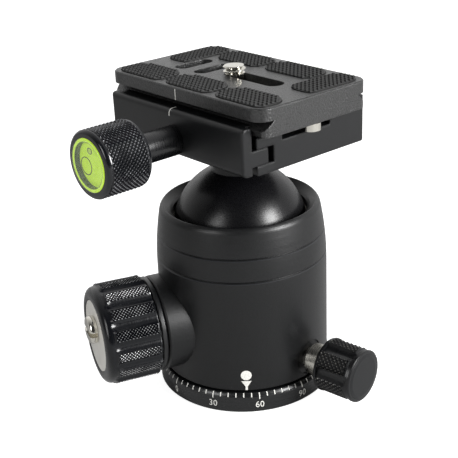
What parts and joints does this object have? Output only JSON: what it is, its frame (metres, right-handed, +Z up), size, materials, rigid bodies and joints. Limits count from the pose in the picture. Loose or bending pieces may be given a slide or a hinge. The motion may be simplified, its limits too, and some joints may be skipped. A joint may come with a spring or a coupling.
{
  "type": "tripod ball head",
  "caption": "Tripod ball head: graduated pan base, friction ball with lock knobs, and a screw clamp holding a slotted dovetail camera plate.",
  "frame": {"origin": "centre of the base's underside, on the pan axis and on the axis of the tripod thread", "axes": "+Z up along the pan axis, +X along the camera plate, the clamp knob points along -Y"},
  "size_m": [0.0734, 0.074, 0.0924],
  "materials": {
    "black_housing": "fine sand-blasted black, satin",
    "black_ball": "hard black coat, semi-matt",
    "black_anodised": "black anodised, satin",
    "bright_steel": "turned and polished, nickel plated",
    "zinc_steel": "plain zinc plated",
    "brass": "turned",
    "nylon": "plain moulded",
    "pad_rubber": "matt with a small diamond pattern",
    "level_white": "plain",
    "level_green": "clear yellow-green liquid",
    "level_clear": "clear cover"
  },
  "bodies": {
    "base": {"base_plate": "black_anodised", "pan_bearing": "nylon", "pan_washer": "zinc_steel", "pan_washer_screws": "zinc_steel"},
    "housing": {"housing": "black_housing", "pan_carrier": "zinc_steel", "carrier_grub": "zinc_steel", "seat_ring": "nylon", "spindle_bush": "brass"},
    "lower_cup": {"lower_cup": "nylon"},
    "wedge_near": {"wedge_near": "zinc_steel"},
    "wedge_far": {"wedge_far": "zinc_steel"},
    "main_knob": {"lock_spindle": "zinc_steel", "spindle_clip": "zinc_steel", "main_flange": "black_anodised", "main_knob": "black_anodised", "face_plate": "bright_steel"},
    "drag_screw": {"drag_screw": "bright_steel"},
    "pan_shoe": {"pan_shoe": "brass"},
    "pan_knob": {"pan_screw": "bright_steel", "pan_knob": "black_anodised", "pan_knob_cap": "black_anodised"},
    "ball": {"ball": "black_ball"},
    "clamp": {"clamp_body": "black_anodised", "clamp_bolt": "zinc_steel", "jaw_springs": "zinc_steel"},
    "jaw": {"clamp_jaw": "black_anodised", "clamp_sleeve": "black_anodised"},
    "clamp_knob": {"clamp_screw": "zinc_steel", "clamp_knob": "black_anodised", "level_base": "level_white", "level_liquid": "level_green", "level_vial": "level_clear"},
    "plate": {"plate": "black_anodised", "plate_pads": "pad_rubber", "stop_pins": "bright_steel"},
    "screw_slide": {"slot_washer": "nylon"},
    "camera_screw": {"camera_screw": "bright_steel"}
  },
  "joints": [
    {"name": "pan", "type": "hinge", "parent": "base", "child": "housing", "pos_m": [0, 0, 0.006], "axis": [0, 0, 1], "continuous": true},
    {"name": "wedge_near_slide", "type": "slide", "parent": "housing", "child": "wedge_near", "axis": [-0.3256, -0.9455, 0], "range_m": [0, 0.000833]},
    {"name": "wedge_far_slide", "type": "slide", "parent": "housing", "child": "wedge_far", "axis": [0.3256, 0.9455, 0], "range_m": [0, 0.00084]},
    {"name": "cup_drop", "type": "slide", "parent": "housing", "child": "lower_cup", "axis": [0, 0, -1], "range_m": [0, 0.00018]},
    {"name": "lock_turn", "type": "hinge", "parent": "housing", "child": "main_knob", "pos_m": [0, 0, 0.02145], "axis": [-0.3256, -0.9455, 0], "range_deg": [0, 300]},
    {"name": "drag_turn", "type": "hinge", "parent": "main_knob", "child": "drag_screw", "pos_m": [0, 0, 0.02365], "axis": [-0.3256, -0.9455, 0], "range_deg": [0, 360]},
    {"name": "pan_shoe_slide", "type": "slide", "parent": "housing", "child": "pan_shoe", "axis": [0.9893, 0.1461, 0], "range_m": [0, 0.000416]},
    {"name": "pan_lock_turn", "type": "hinge", "parent": "pan_shoe", "child": "pan_knob", "pos_m": [0, 0, 0.0115], "axis": [0.9893, 0.1461, 0], "range_deg": [0, 150]},
    {"name": "tilt", "type": "hinge", "parent": "housing", "child": "ball", "pos_m": [0, 0, 0.046], "axis": [-0.6574, -0.7536, 0], "range_deg": [-45, 90]},
    {"name": "spin", "type": "hinge", "parent": "ball", "child": "clamp", "pos_m": [0, 0, 0.046], "axis": [0, 0, 1], "range_deg": [-100, 200]},
    {"name": "jaw_slide", "type": "slide", "parent": "clamp", "child": "jaw", "axis": [0, -1, 0], "range_m": [0, 0.003]},
    {"name": "clamp_turn", "type": "hinge", "parent": "jaw", "child": "clamp_knob", "pos_m": [0, 0, 0.07665], "axis": [0, -1, 0], "range_deg": [0, 1080]},
    {"name": "plate_slide", "type": "slide", "parent": "clamp", "child": "plate", "axis": [1, 0, 0], "range_m": [-0.0046, 0.0046]},
    {"name": "screw_slot_slide", "type": "slide", "parent": "plate", "child": "screw_slide", "axis": [1, 0, 0], "range_m": [0, 0.0152]},
    {"name": "camera_screw_turn", "type": "hinge", "parent": "screw_slide", "child": "camera_screw", "pos_m": [0, 0, 0.0898], "axis": [0, 0, 1], "continuous": true}
  ],
  "couplings": [
    {"joint": "lock_turn", "follows": "wedge_near_slide", "rad_per_m": 6283.2},
    {"joint": "wedge_far_slide", "follows": "wedge_near_slide", "ratio": 1},
    {"joint": "cup_drop", "follows": "wedge_near_slide", "ratio": 0.21256},
    {"joint": "pan_lock_turn", "follows": "pan_shoe_slide", "rad_per_m": 6283.2},
    {"joint": "clamp_turn", "follows": "jaw_slide", "rad_per_m": 6283.2}
  ]
}
